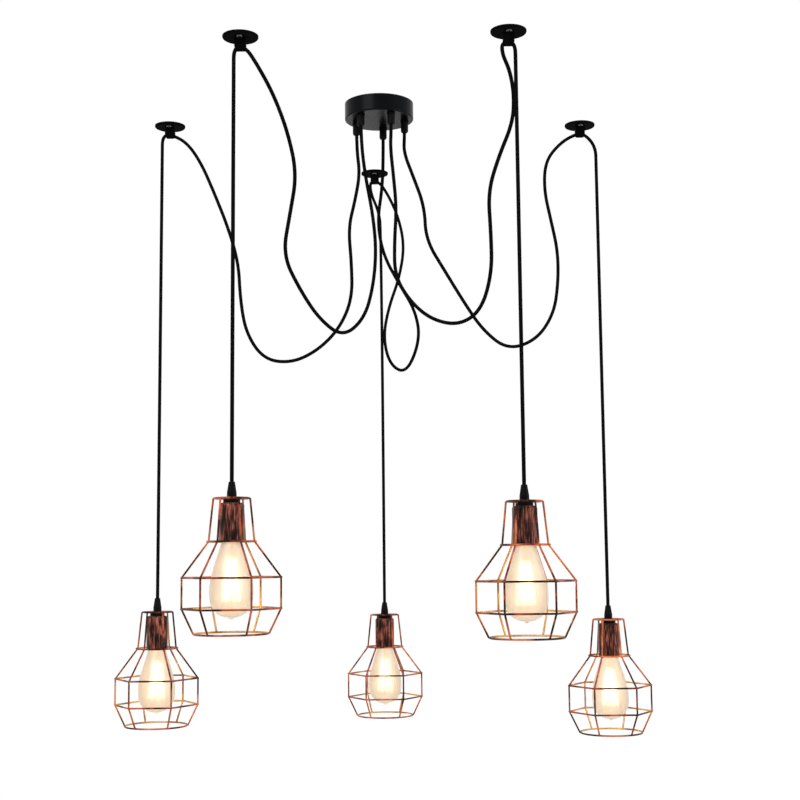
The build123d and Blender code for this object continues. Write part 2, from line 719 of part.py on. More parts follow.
tip_outer = glass_point(*bulb_tip_share, 0)
shoulder_outer = (bulb_shoulder_share * bulb_radius, glass_top)
shoulder_inner = (shoulder_outer[0] - bulb_glass_wall, glass_top - bulb_glass_wall)
with BuildPart() as bulb_glass:
    with BuildSketch(Plane.XZ) as glass_profile:
        with BuildLine():
            outer_line = Spline(
                shoulder_outer, *[glass_point(*share, 0) for share in bulb_outline_shares], tip_outer
            )
            tip_line = Line(tip_outer, (0, glass_top - bulb_glass_length))
            axis_line = Line(tip_line @ 1, (0, tip_outer[1] + bulb_glass_wall))
            floor_line = Line(axis_line @ 1, (tip_outer[0], tip_outer[1] + bulb_glass_wall))
            inner_line = Spline(
                floor_line @ 1,
                *[
                    (radius * bulb_radius - bulb_glass_wall, glass_top - length * bulb_glass_length)
                    for radius, length in reversed(bulb_outline_shares[:-2])
                ],
                shoulder_inner,
            )
            Polyline(
                shoulder_inner,
                (neck_radius - bulb_glass_wall, glass_top - bulb_glass_wall),
                (neck_radius - bulb_glass_wall, glass_top + bulb_neck_length),
                (neck_radius, glass_top + bulb_neck_length),
                (neck_radius, glass_top),
                shoulder_outer,
            )
        make_face()
    revolve(axis=Axis.Z)
write_copies(bulb_glass, "bulb_glass", {number: lamp_place(number) for number in lamp_numbers})

# Filament: a glass stem flared into the bulb's neck, a rod, and eight wires strung from its top to its foot
stem_top = cap_rim + bulb_neck_length
stem_base_radius = neck_radius - bulb_glass_wall - clearance
stem_bottom = stem_top - stem_height
filament_bottom = stem_bottom - filament_height
with BuildPart() as filament_leg:
    with BuildLine() as leg_path:
        FilletPolyline(
            (0, 0, stem_bottom),
            (filament_top_radius, 0, stem_bottom),
            (filament_bottom_radius, 0, filament_bottom),
            (0, 0, filament_bottom),
            radius=2 * filament_wire,
        )
    with BuildSketch(Plane(origin=(0, 0, stem_bottom), z_dir=(1, 0, 0))):
        Circle(filament_wire / 2)
    sweep(path=leg_path.wires()[0])
with BuildPart() as bulb_filament:
    with BuildSketch(Plane.XZ) as stem_profile:
        with BuildLine():
            Polyline(
                (0, stem_top),
                (stem_base_radius, stem_top),
                (stem_tip_diameter / 2, stem_bottom),
                (stem_rod_diameter / 2, stem_bottom),
                (stem_rod_diameter / 2, filament_bottom),
                (0, filament_bottom),
                close=True,
            )
        make_face()
    revolve(axis=Axis.Z)
    with PolarLocations(0, filament_count):
        add(filament_leg.part)
write_copies(bulb_filament, "bulb_filament", {number: lamp_place(number) for number in lamp_numbers})
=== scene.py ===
# %% [markdown]
# # A cluster pendant light
# Five caged lamps hang from braided cords that start at one round rose on the ceiling and pass over
# five ceiling hooks. The sizes and places of every rigid piece come from a measured model, which
# loads first and is never moved. This lesson dresses it: the cords, the finishes, the hot wires in
# the bulbs and the light.

# %% Load the measured model
import math

import bpy
import numpy as np
from mathutils import Matrix, Vector


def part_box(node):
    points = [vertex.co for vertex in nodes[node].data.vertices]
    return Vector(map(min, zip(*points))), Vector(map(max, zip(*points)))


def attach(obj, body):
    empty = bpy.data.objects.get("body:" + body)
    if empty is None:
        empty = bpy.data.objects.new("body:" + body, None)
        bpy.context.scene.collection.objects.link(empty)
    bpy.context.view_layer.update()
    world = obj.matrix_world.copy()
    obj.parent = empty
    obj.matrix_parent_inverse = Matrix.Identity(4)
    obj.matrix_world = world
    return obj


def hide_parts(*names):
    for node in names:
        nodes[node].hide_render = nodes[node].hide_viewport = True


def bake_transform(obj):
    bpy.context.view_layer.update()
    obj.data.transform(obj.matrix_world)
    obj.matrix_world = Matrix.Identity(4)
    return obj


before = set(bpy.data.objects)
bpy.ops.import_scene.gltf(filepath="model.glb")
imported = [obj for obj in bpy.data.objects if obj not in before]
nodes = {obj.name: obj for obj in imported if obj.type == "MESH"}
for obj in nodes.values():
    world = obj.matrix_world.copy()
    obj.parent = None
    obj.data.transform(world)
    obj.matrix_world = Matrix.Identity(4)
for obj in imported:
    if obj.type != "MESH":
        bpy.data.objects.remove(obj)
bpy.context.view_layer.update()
LAMPS = (1, 2, 3, 4, 5)

# %% [markdown]
# ## Camera
# The photographer stood a little over two metres from the rose, at the height of the lamps, and
# tilted the camera up a few degrees. The lamps hang plumb, so a slight lean of every cord in the
# picture is a roll of the camera. It could be set by eye, but a focal length, a place and these two
# turns, fitted to the round rose and the equal lamps, put every piece where the picture has it.

# %% Camera
IMAGE_WIDTH = 800
FOCAL_PIXELS = 1371
SENSOR_WIDTH = 36.0
CAMERA_PLACE = (0.0318, -2.3325, -0.795)
LEVEL_VIEW = math.radians(90)
CAMERA_PITCH = math.radians(6.65)
CAMERA_ROLL = math.radians(0.56)

camera_data = bpy.data.cameras.new("camera")
camera_data.sensor_width = SENSOR_WIDTH
camera_data.lens = SENSOR_WIDTH * FOCAL_PIXELS / IMAGE_WIDTH
camera = bpy.data.objects.new("camera", camera_data)
camera.matrix_world = (
    Matrix.Translation(CAMERA_PLACE)
    @ Matrix.Rotation(LEVEL_VIEW + CAMERA_PITCH, 4, "X")
    @ Matrix.Rotation(-CAMERA_ROLL, 4, "Z")
)
bpy.context.scene.collection.objects.link(camera)
bpy.context.scene.camera = camera
print("lens", round(camera_data.lens, 1), "mm")

# %% [markdown]
# ## Cord routes
# Each lamp hangs on one round braided cord, six millimetres thick. It leaves the rose straight down
# through a cord grip, swings out in a slack curve, climbs to its ceiling hook, lies over the hook's
# saddle and drops plumb to the lamp. Letting a physics rope fall would give bends of its own. A
# spline pulled along by listed points follows the bends of the real cords instead. One extra
# point below each hook keeps the plumb run straight. The numbers are metres from the rose's middle.

# %% Cord routes
CORD_DIAMETER = 0.006
CORD_ROUTES = {
    1: [
        (-0.0404, 0.0197, -0.024), (-0.0404, 0.0197, -0.075), (-0.035, 0.0205, -0.118),
        (-0.0435, 0.022, -0.165), (-0.056, 0.025, -0.215), (-0.051, 0.028, -0.275),
        (-0.050, 0.031, -0.340), (-0.073, 0.036, -0.392), (-0.112, 0.046, -0.429),
        (-0.158, 0.056, -0.449), (-0.208, 0.067, -0.441), (-0.241, 0.077, -0.392),
        (-0.252, 0.081, -0.330), (-0.256, 0.086, -0.262), (-0.276, 0.092, -0.195),
        (-0.302, 0.099, -0.130), (-0.326, 0.104, -0.074), (-0.352, 0.108, -0.034),
        (-0.379, 0.108, -0.0177), (-0.399, 0.108, -0.0177), (-0.399, 0.108, -0.054),
        (-0.399, 0.108, -0.900),
    ],
    2: [
        (-0.0313, -0.0324, -0.024), (-0.0313, -0.0324, -0.075), (-0.024, -0.036, -0.140),
        (-0.012, -0.042, -0.205), (-0.006, -0.049, -0.270), (-0.011, -0.060, -0.335),
        (-0.026, -0.078, -0.395), (-0.061, -0.108, -0.431), (-0.097, -0.150, -0.408),
        (-0.125, -0.190, -0.368), (-0.150, -0.222, -0.318), (-0.138, -0.232, -0.256),
        (-0.126, -0.246, -0.195), (-0.138, -0.266, -0.135), (-0.158, -0.292, -0.082),
        (-0.181, -0.322, -0.044), (-0.198, -0.322, -0.0177), (-0.216, -0.322, -0.0177),
        (-0.216, -0.322, -0.054), (-0.216, -0.322, -0.721),
    ],
    3: [
        (0.0063, 0.0446, -0.024), (0.0063, 0.0446, -0.075), (0.004, 0.053, -0.135),
        (-0.006, 0.074, -0.192), (0.004, 0.106, -0.246), (0.032, 0.140, -0.292),
        (0.062, 0.180, -0.335), (0.071, 0.214, -0.384), (0.045, 0.248, -0.444),
        (0.013, 0.286, -0.422), (0.000, 0.322, -0.362), (0.011, 0.356, -0.296),
        (0.033, 0.384, -0.230), (0.044, 0.405, -0.160), (0.032, 0.420, -0.095),
        (0.010, 0.429, -0.044), (-0.008, 0.429, -0.0177), (-0.026, 0.429, -0.0177),
        (-0.024, 0.429, -0.044), (-0.009, 0.429, -0.080), (-0.003, 0.429, -0.120),
        (-0.003, 0.429, -0.921),
    ],
    4: [
        (0.0211, -0.0397, -0.024), (0.0211, -0.0397, -0.060), (0.0195, -0.041, -0.090),
        (0.024, -0.045, -0.138), (0.029, -0.053, -0.200), (0.025, -0.062, -0.262),
        (0.025, -0.074, -0.322), (0.050, -0.098, -0.370), (0.083, -0.134, -0.407),
        (0.126, -0.176, -0.425), (0.160, -0.222, -0.410), (0.176, -0.250, -0.355),
        (0.174, -0.268, -0.295), (0.170, -0.280, -0.235), (0.187, -0.291, -0.182),
        (0.208, -0.302, -0.134), (0.210, -0.314, -0.094), (0.203, -0.327, -0.060),
        (0.1915, -0.333, -0.0365), (0.1915, -0.333, -0.0177), (0.2115, -0.333, -0.0177),
        (0.2115, -0.333, -0.054), (0.2115, -0.333, -0.730),
    ],
    5: [
        (0.0443, 0.0078, -0.024), (0.0443, 0.0078, -0.055), (0.0425, 0.009, -0.084),
        (0.059, 0.011, -0.128), (0.078, 0.017, -0.180), (0.080, 0.024, -0.238),
        (0.113, 0.034, -0.292), (0.144, 0.046, -0.342), (0.179, 0.060, -0.393),
        (0.224, 0.074, -0.427), (0.277, 0.088, -0.407), (0.310, 0.099, -0.358),
        (0.320, 0.106, -0.300), (0.321, 0.110, -0.240), (0.310, 0.113, -0.182),
        (0.299, 0.115, -0.125), (0.303, 0.118, -0.070), (0.332, 0.125, -0.034),
        (0.3605, 0.125, -0.0177), (0.3775, 0.125, -0.0177), (0.397, 0.125, -0.042),
        (0.397, 0.125, -0.078), (0.397, 0.125, -0.921),
    ],
}
print({number: len(route) for number, route in CORD_ROUTES.items()})


# %% [markdown]
# ## From a route to a centre line
# A Bezier curve can bulge past its points. A NURBS curve of order three bends in soft arcs between
# them and never overshoots, like a cord. Reading it back as a mesh gives plain points. Its steps on
# the long plumb runs are long too, so they are cut into short ones, which a cord needs to bend at
# its hook when a lamp swings.

# %% Centre lines
CURVE_STEPS = 10
SPLINE_ORDER = 3
LONGEST_STEP = 0.008


def smooth_line(name, route):
    """Points along the spline that the route's points control."""
    curve = bpy.data.curves.new(name, "CURVE")
    curve.dimensions = "3D"
    curve.resolution_u = CURVE_STEPS
    spline = curve.splines.new("NURBS")
    spline.points.add(len(route) - 1)
    for point, place in zip(spline.points, route):
        point.co = (*place, 1.0)
    spline.order_u = SPLINE_ORDER
    spline.use_endpoint_u = True
    holder = bpy.data.objects.new(name, curve)
    bpy.context.scene.collection.objects.link(holder)
    bpy.context.view_layer.update()
    mesh = bpy.data.meshes.new_from_object(holder)
    points = [vertex.co.copy() for vertex in mesh.vertices]
    bpy.data.objects.remove(holder)
    bpy.data.curves.remove(curve)
    bpy.data.meshes.remove(mesh)
    return points


def short_steps(points, longest):
    """The same line with every step longer than the limit cut into equal ones."""
    line = [points[0]]
    for start, end in zip(points, points[1:]):
        step_count = max(1, math.ceil((end - start).length / longest))
        for step in range(1, step_count + 1):
            line.append(start.lerp(end, step / step_count))
    return line


def line_length(points):
    """The way along all the points."""
    return sum((end - start).length for start, end in zip(points, points[1:]))


cord_lines = {}
for number in LAMPS:
    line = short_steps(smooth_line(f"route_{number}", CORD_ROUTES[number]), LONGEST_STEP)
    cord_lines[number] = line
    print("cord", number, round(line_length(line), 3), "m,", len(line), "points")

# %% [markdown]
# ## Round tubes
# A curve's own bevel could make a tube, but its texture map stretches with the curve's points. So
# the tube is built here: a circle at every point, square to the line. Turning each circle only as
# much as the line turns keeps the skin from twisting, which the braid would show. On the texture
# map, one lap round is one unit across, and the length in metres runs along.

# %% Tube maker
def tube_mesh(name, line, radius, sides):
    """A closed tube round the line with a map of turns and metres."""
    tangents = []
    for index in range(len(line)):
        before = line[max(index - 1, 0)]
        after = line[min(index + 1, len(line) - 1)]
        tangents.append((after - before).normalized())
    side_way = tangents[0].orthogonal().normalized()
    vertices, travelled, distance = [], [0.0], 0.0
    for index, centre in enumerate(line):
        if index:
            turn = tangents[index - 1].rotation_difference(tangents[index])
            side_way = turn @ side_way
            distance += (centre - line[index - 1]).length
            travelled.append(distance)
        up_way = tangents[index].cross(side_way)
        for side in range(sides):
            angle = 2 * math.pi * side / sides
            spoke = math.cos(angle) * side_way + math.sin(angle) * up_way
            vertices.append(centre + radius * spoke)
    faces, places = [], []
    for ring in range(len(line) - 1):
        for side in range(sides):
            following = (side + 1) % sides
            low, high = ring * sides, (ring + 1) * sides
            faces.append((low + side, low + following, high + following, high + side))
            left, right = side / sides, (side + 1) / sides
            places += [(left, travelled[ring]), (right, travelled[ring])]
            places += [(right, travelled[ring + 1]), (left, travelled[ring + 1])]
    last = (len(line) - 1) * sides
    faces.append(tuple(reversed(range(sides))))
    faces.append(tuple(range(last, last + sides)))
    places += [(0.0, 0.0)] * (2 * sides)
    mesh = bpy.data.meshes.new(name)
    mesh.from_pydata(vertices, [], faces)
    layer = mesh.uv_layers.new(name="turns_and_metres")
    layer.data.foreach_set("uv", np.array(places, float).ravel())
    mesh.shade_smooth()
    return mesh


def add_piece(name, mesh, material=None):
    """A new object in the scene with one material."""
    piece = bpy.data.objects.new(name, mesh)
    bpy.context.scene.collection.objects.link(piece)
    if material is not None:
        piece.data.materials.append(material)
    return piece


print("tube maker ready")

# %% [markdown]
# ## Material helpers
# Pictures wrapped round the pieces would blur close up. So every finish here is procedural: a
# Principled shader whose colour, roughness and bump come from noise. A few helpers keep each finish
# short. Numbers that are the same all over stay on the shader's own sockets.

# %% Material helpers
DARK_STOP = 0.3
LIGHT_STOP = 0.7


def new_material(name, **settings):
    """A material and its Principled shader, with uniform settings on the shader's sockets."""
    material = bpy.data.materials.new(name)
    material.use_nodes = True
    shader = material.node_tree.nodes["Principled BSDF"]
    for socket, value in settings.items():
        shader.inputs[socket.replace("_", " ")].default_value = value
    return material, shader


def add_node(material, kind, **settings):
    """A new node with its settings. The world works here as well as a material."""
    node = material.node_tree.nodes.new(kind)
    for name, value in settings.items():
        setattr(node, name, value)
    return node


def link(material, output, target):
    """A wire from one node's output to another's input."""
    material.node_tree.links.new(output, target)


def math_node(material, operation, first, second=None):
    """One arithmetic step on sockets or numbers."""
    node = add_node(material, "ShaderNodeMath", operation=operation)
    for socket, value in zip(node.inputs, (first, second)):
        if value is None:
            continue
        if isinstance(value, (int, float)):
            socket.default_value = value
        else:
            link(material, value, socket)
    return node.outputs[0]


def noise(material, scale, detail=4.0, stretch=(1, 1, 1)):
    """Noise in the object's own metres; a small stretch value draws it out along that axis."""
    place = add_node(material, "ShaderNodeTexCoord")
    mapping = add_node(material, "ShaderNodeMapping")
    mapping.inputs["Scale"].default_value = stretch
    texture = add_node(material, "ShaderNodeTexNoise")
    texture.inputs["Scale"].default_value = scale
    texture.inputs["Detail"].default_value = detail
    link(material, place.outputs["Object"], mapping.inputs["Vector"])
    link(material, mapping.outputs["Vector"], texture.inputs["Vector"])
    return texture.outputs["Fac"]


def ramp(material, source, stops):
    """A colour ramp through (place, colour) stops."""
    node = add_node(material, "ShaderNodeValToRGB")
    elements = node.color_ramp.elements
    while len(elements) < len(stops):
        elements.new(1.0)
    for element, (place, colour) in zip(elements, stops):
        element.position = place
        element.color = (*colour, 1.0)
    link(material, source, node.inputs["Fac"])
    return node.outputs["Color"]


def two_tones(material, shader, source, dark, light):
    """A base colour that runs from dark to light over the middle of the noise."""
    colour = ramp(material, source, [(DARK_STOP, dark), (LIGHT_STOP, light)])
    link(material, colour, shader.inputs["Base Color"])
    return colour


def add_bump(material, shader, height, strength, depth):
    """Bump from a height between nought and one, with its depth in metres."""
    bump = add_node(material, "ShaderNodeBump")
    bump.inputs["Strength"].default_value = strength
    bump.inputs["Distance"].default_value = depth
    link(material, height, bump.inputs["Height"])
    link(material, bump.outputs["Normal"], shader.inputs["Normal"])


def vary_roughness(material, shader, source, low, high):
    """Roughness that runs from low to high with the source."""
    node = add_node(material, "ShaderNodeMapRange")
    node.inputs["To Min"].default_value = low
    node.inputs["To Max"].default_value = high
    link(material, source, node.inputs["Value"])
    link(material, node.outputs["Result"], shader.inputs["Roughness"])


print("helpers ready")

# %% [markdown]
# ## Braided cord
# The cord's jacket is a tight braid of black polyester: two sets of yarns cross each other on the
# slant. Real strands would be millions of faces for a relief of a tenth of a millimetre. Two sine
# waves that climb opposite ways round the tube, multiplied, give the same diamonds for the bump, and
# the yarns' crowns are painted a little lighter than the gaps: painted shade between the yarns.

# %% Braid material
BRAID_YARNS = 8
BRAID_PITCH = 0.019
BRAID_SHADED_GAP = (0.003, 0.003, 0.003)
BRAID_LIT_CROWN = (0.008, 0.008, 0.009)
BRAID_GAP_STOP = 0.1
BRAID_CROWN_STOP = 0.9
BRAID_BUMP = 0.25
BRAID_DEPTH = 0.0003


def braid_material():
    """Black yarns that cross on the slant round a cord."""
    material, shader = new_material("black_braid", Roughness=0.9, Specular_IOR_Level=0.0)
    layer = add_node(material, "ShaderNodeUVMap", uv_map="turns_and_metres")
    split = add_node(material, "ShaderNodeSeparateXYZ")
    link(material, layer.outputs["UV"], split.inputs["Vector"])
    lap = 2 * math.pi * BRAID_YARNS
    across = math_node(material, "MULTIPLY", split.outputs["X"], lap)
    along = math_node(material, "MULTIPLY", split.outputs["Y"], lap / BRAID_PITCH)
    rising = math_node(material, "SINE", math_node(material, "ADD", across, along))
    falling = math_node(material, "SINE", math_node(material, "SUBTRACT", across, along))
    weave = math_node(material, "MULTIPLY", rising, falling)
    height = math_node(material, "MULTIPLY_ADD", weave, 0.5)
    height.node.inputs[2].default_value = 0.5
    # The colour follows the weave's height: painted shade in the gaps, lighter crowns.
    stops = [(BRAID_GAP_STOP, BRAID_SHADED_GAP), (BRAID_CROWN_STOP, BRAID_LIT_CROWN)]
    link(material, ramp(material, height, stops), shader.inputs["Base Color"])
    add_bump(material, shader, height, BRAID_BUMP, BRAID_DEPTH)
    return material


black_braid = braid_material()
print(black_braid.name)

# %% [markdown]
# ## The five cords
# Each cord is one tube from inside the rose to inside its lampholder, and it stands in for the
# measured model's slack and drop pieces. Two tubes that meet at the hook would part when the lamp
# swings.

# %% Cords
CORD_SIDES = 14

for number in LAMPS:
    line = cord_lines[number]
    mesh = tube_mesh(f"cord_{number}", line, CORD_DIAMETER / 2, CORD_SIDES)
    cord = add_piece(f"cord_{number}", mesh, black_braid)
    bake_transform(cord)
    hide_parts(f"cord_slack_{number}", f"cord_drop_{number}")
    print(cord.name, len(mesh.polygons), "faces")

# %% [markdown]
# ## Black enamel
# The rose is steel under a satin black enamel with a cool sheen. The hooks and their discs are a
# dull black, and the grips and lampholders lie between. One even black would look like a cut-out. A
# soft noise moves the grey and the roughness a little, as on real paint, and a finer one gives the
# faint orange peel of a sprayed coat. Gloss is how much the coat mirrors when seen straight on.

# %% Black enamel
PATCH_SCALE = 45.0
PATCH_SMOOTHER = 0.06
PATCH_ROUGHER = 0.08
PEEL_SCALE = 1400.0
PEEL_DETAIL = 2.0
PEEL_BUMP = 0.15
FINE_DEPTH = 0.0002
PLAIN_SHEEN = (1.0, 1.0, 1.0, 1.0)
COOL_SHEEN = (0.86, 0.96, 1.0, 1.0)


def enamel_material(name, dark, light, roughness, gloss, sheen=PLAIN_SHEEN):
    """A black coat in soft patches from dark to light."""
    material, shader = new_material(
        name, Roughness=roughness, Specular_IOR_Level=gloss, Specular_Tint=sheen
    )
    patches = noise(material, PATCH_SCALE)
    two_tones(material, shader, patches, dark, light)
    smooth, rough = roughness - PATCH_SMOOTHER, roughness + PATCH_ROUGHER
    vary_roughness(material, shader, patches, smooth, rough)
    add_bump(material, shader, noise(material, PEEL_SCALE, PEEL_DETAIL), PEEL_BUMP, FINE_DEPTH)
    return material


rose_enamel = enamel_material(
    "rose_enamel", (0.001, 0.001, 0.002), (0.002, 0.002, 0.003), 0.25, 0.065, COOL_SHEEN
)
hook_enamel = enamel_material(
    "hook_enamel", (0.002, 0.002, 0.002), (0.005, 0.005, 0.006), 0.60, 0.004
)
fitting_black = enamel_material(
    "fitting_black", (0.002, 0.002, 0.002), (0.006, 0.006, 0.006), 0.45, 0.05
)
print(rose_enamel.name, hook_enamel.name, fitting_black.name)

# %% [markdown]
# ## Small steel, brass and the white block
# The hooks' screws are dull steel, the bracket and nuts are zinc plated, the small hooks in the
# bulbs are bright steel, and the bulbs' caps are brass. They are tiny or hidden, so one recipe is
# enough: a fine mottle between two tones that also moves the gloss. The terminal block is white
# moulded plastic.

# %% Steel, brass and white plastic
METAL_DETAIL = 5.0
METAL_SMOOTHER = 0.08
METAL_ROUGHER = 0.12
MOTTLE_BUMP = 0.1
PLASTIC_MOTTLE_SCALE = 60.0
PLASTIC_GRAIN_SCALE = 900.0


def metal_material(name, dark, light, roughness, scale):
    """A bare or plated metal with a fine mottle."""
    material, shader = new_material(name, Roughness=roughness, Metallic=1.0)
    mottle = noise(material, scale, METAL_DETAIL)
    two_tones(material, shader, mottle, dark, light)
    smooth, rough = roughness - METAL_SMOOTHER, roughness + METAL_ROUGHER
    vary_roughness(material, shader, mottle, smooth, rough)
    add_bump(material, shader, mottle, MOTTLE_BUMP, FINE_DEPTH)
    return material


def white_plastic_material():
    """Moulded plastic for the terminal block."""
    material, shader = new_material("white_block", Roughness=0.38)
    mottle = noise(material, PLASTIC_MOTTLE_SCALE)
    two_tones(material, shader, mottle, (0.70, 0.69, 0.65), (0.78, 0.77, 0.74))
    grain = noise(material, PLASTIC_GRAIN_SCALE, PEEL_DETAIL)
    add_bump(material, shader, grain, MOTTLE_BUMP, FINE_DEPTH)
    return material


zinc_plate = metal_material("zinc_plate", (0.42, 0.43, 0.46), (0.62, 0.63, 0.64), 0.34, 160.0)
screw_steel = metal_material("screw_steel", (0.45, 0.45, 0.46), (0.66, 0.66, 0.66), 0.3, 500.0)
dull_steel = metal_material("dull_steel", (0.10, 0.10, 0.10), (0.19, 0.19, 0.19), 0.38, 500.0)
cap_brass = metal_material("cap_brass", (0.50, 0.36, 0.14), (0.72, 0.56, 0.28), 0.26, 200.0)
white_block = white_plastic_material()
print(zinc_plate.name, screw_steel.name, dull_steel.name, cap_brass.name, white_block.name)

# %% [markdown]
# ## Antique copper wire
# The cages are steel wire, plated with copper, blackened and then rubbed back. So the wire runs from
# near black to orange within a few centimetres. Broad noise decides where the black was left, and a
# fine noise roughens the edges of those patches. The inner side, which the bulb shines on, is
# painted
# a yellower, golden colour: painted light from the bulb. A second material for it would need its own
# faces. Instead the shader compares each face's direction with the way out from the cage's middle.

# %% Antique copper wire
BROAD_SCALE = 26.0
FINE_SCALE = 420.0
FINE_SHARE = 0.25
BLACKENED = (0.026, 0.008, 0.006)
RUBBED = (0.32, 0.057, 0.024)
BRIGHT = (0.64, 0.19, 0.075)
# Painted bulb light: golden tones painted on the cage wires' inner side.
BULB_LIGHT_PAINT_BROWN = (0.20, 0.075, 0.022)
BULB_LIGHT_PAINT_GOLD = (0.46, 0.26, 0.062)
BULB_LIGHT_PAINT_PALE = (0.70, 0.47, 0.15)
BULB_LIGHT_PAINT_START = 0.25
BULB_LIGHT_PAINT_FULL = 0.7


def painted_bulb_light_mask(material):
    """Painted-light mask: one where a surface faces the upright axis through the piece's middle,
    else nought.
    """
    place = add_node(material, "ShaderNodeTexCoord")
    outwards = add_node(material, "ShaderNodeVectorMath", operation="SUBTRACT")
    outwards.inputs[1].default_value = (0.5, 0.5, 0.5)
    level = add_node(material, "ShaderNodeVectorMath", operation="MULTIPLY")
    level.inputs[1].default_value = (1.0, 1.0, 0.0)
    unit = add_node(material, "ShaderNodeVectorMath", operation="NORMALIZE")
    facing = add_node(material, "ShaderNodeVectorMath", operation="DOT_PRODUCT")
    link(material, place.outputs["Generated"], outwards.inputs[0])
    link(material, outwards.outputs["Vector"], level.inputs[0])
    link(material, level.outputs["Vector"], unit.inputs[0])
    link(material, unit.outputs["Vector"], facing.inputs[0])
    link(material, place.outputs["Normal"], facing.inputs[1])
    share = add_node(material, "ShaderNodeMapRange")
    share.inputs["From Min"].default_value = -BULB_LIGHT_PAINT_START
    share.inputs["From Max"].default_value = -BULB_LIGHT_PAINT_FULL
    link(material, facing.outputs["Value"], share.inputs["Value"])
    return share.outputs["Result"]


def antique_copper_material():
    """Copper plate in black, orange and bright patches, with painted bulb light on the inner side.
    """
    material, shader = new_material("antique_copper", Roughness=0.4, Metallic=0.85)
    broad = noise(material, BROAD_SCALE, 3.0)
    fine = noise(material, FINE_SCALE, 4.0)
    mixed = math_node(material, "MULTIPLY_ADD", fine, FINE_SHARE)
    link(material, broad, mixed.node.inputs[2])
    copper = ramp(material, mixed, [(0.57, BLACKENED), (0.65, RUBBED), (0.84, BRIGHT)])
    # Painted light from the bulb: golden tones for the inner side of the wires.
    painted_bulb_light = ramp(material, mixed, [(0.50, BULB_LIGHT_PAINT_BROWN), (0.62, BULB_LIGHT_PAINT_GOLD), (0.84, BULB_LIGHT_PAINT_PALE)])
    both = add_node(material, "ShaderNodeMix", data_type="RGBA")
    # The mask mixes the painted bulb light onto the faces that look inwards.
    link(material, painted_bulb_light_mask(material), both.inputs["Factor"])
    link(material, copper, both.inputs["A"])
    link(material, painted_bulb_light, both.inputs["B"])
    link(material, both.outputs["Result"], shader.inputs["Base Color"])
    vary_roughness(material, shader, fine, 0.32, 0.52)
    add_bump(material, shader, fine, 0.2, FINE_DEPTH)
    return material


antique_copper = antique_copper_material()
print(antique_copper.name)

# %% [markdown]
# ## Brushed copper sleeve
# The sleeve over each lampholder is drawn copper-plated steel, blackened and then brushed from end
# to end. The brush leaves upright streaks. Anisotropic gloss would show only highlights, so the
# streaks are noise that is short across the sleeve and long along it. They change both the colour
# and the gloss, and broader patches decide where more of the black is left.

# %% Brushed copper sleeve
BRUSH_BLACK = (0.004, 0.003, 0.003)
BRUSH_BROWN = (0.065, 0.016, 0.010)
BRUSH_BRIGHT = (0.48, 0.16, 0.11)
STREAK_SCALE = 900.0
STREAK_STRETCH = (1, 1, 0.05)
SLEEVE_PATCH_SCALE = 70.0
SLEEVE_PATCH_STRETCH = (1, 1, 0.5)
SLEEVE_PATCH_SHARE = 0.6


def brushed_copper_material():
    """Black and copper streaks that run along the sleeve."""
    material, shader = new_material("brushed_copper", Roughness=0.36, Metallic=0.8)
    streaks = noise(material, STREAK_SCALE, 5.0, STREAK_STRETCH)
    patches = noise(material, SLEEVE_PATCH_SCALE, 3.0, SLEEVE_PATCH_STRETCH)
    mixed = math_node(material, "MULTIPLY_ADD", patches, SLEEVE_PATCH_SHARE)
    link(material, streaks, mixed.node.inputs[2])
    colour = ramp(material, mixed, [(0.68, BRUSH_BLACK), (0.82, BRUSH_BROWN), (1.0, BRUSH_BRIGHT)])
    link(material, colour, shader.inputs["Base Color"])
    vary_roughness(material, shader, streaks, 0.28, 0.5)
    add_bump(material, shader, streaks, 0.25, FINE_DEPTH)
    return material


brushed_copper = brushed_copper_material()
print(brushed_copper.name)

# %% [markdown]
# ## Warm glass
# The bulbs are lit, so their glass is never seen by itself: it glows cream where the light inside
# scatters in it. Clear glass would show each hot wire as a thin line. A rough, faintly amber glass
# spreads them into the soft white core that a camera records, and a low emission of its own warms
# the edges. Shadow rays pass through it, so that the lamp inside can light the cage. The stem that
# carries the wires is clear, and the wires shine by emission.

# %% Glass and hot wire
GLASS_ROUGHNESS = 0.34
GLASS_IOR = 1.45
GLASS_STREAK_SCALE = 160.0
GLASS_STRETCH = (1, 1, 0.04)
GLASS_DEEP = (0.91, 0.81, 0.68)
GLASS_PALE = (0.95, 0.88, 0.78)
GLASS_WARMTH = (1.0, 0.72, 0.45, 1.0)
GLASS_GLOW = 0.05
HEAT_SCALE = 70.0
WIRE_ORANGE = (1.0, 0.80, 0.55)
WIRE_WHITE = (1.0, 0.88, 0.70)
WIRE_GLOW = 2.0
STEM_IOR = 1.5
STEM_CLARITY = 0.9
STEM_MOTTLE_SCALE = 90.0


def bulb_glass_material():
    """Rough amber glass with a low glow, which lets the light inside through."""
    material, shader = new_material(
        "bulb_glass", Roughness=GLASS_ROUGHNESS, Transmission_Weight=1.0, IOR=GLASS_IOR,
        Emission_Color=GLASS_WARMTH, Emission_Strength=GLASS_GLOW,
    )
    streaks = noise(material, GLASS_STREAK_SCALE, 3.0, GLASS_STRETCH)
    two_tones(material, shader, streaks, GLASS_DEEP, GLASS_PALE)
    paths = add_node(material, "ShaderNodeLightPath")
    clear = add_node(material, "ShaderNodeBsdfTransparent")
    blend = add_node(material, "ShaderNodeMixShader")
    output = material.node_tree.nodes["Material Output"]
    link(material, paths.outputs["Is Shadow Ray"], blend.inputs["Fac"])
    link(material, shader.outputs["BSDF"], blend.inputs[1])
    link(material, clear.outputs["BSDF"], blend.inputs[2])
    link(material, blend.outputs["Shader"], output.inputs["Surface"])
    return material


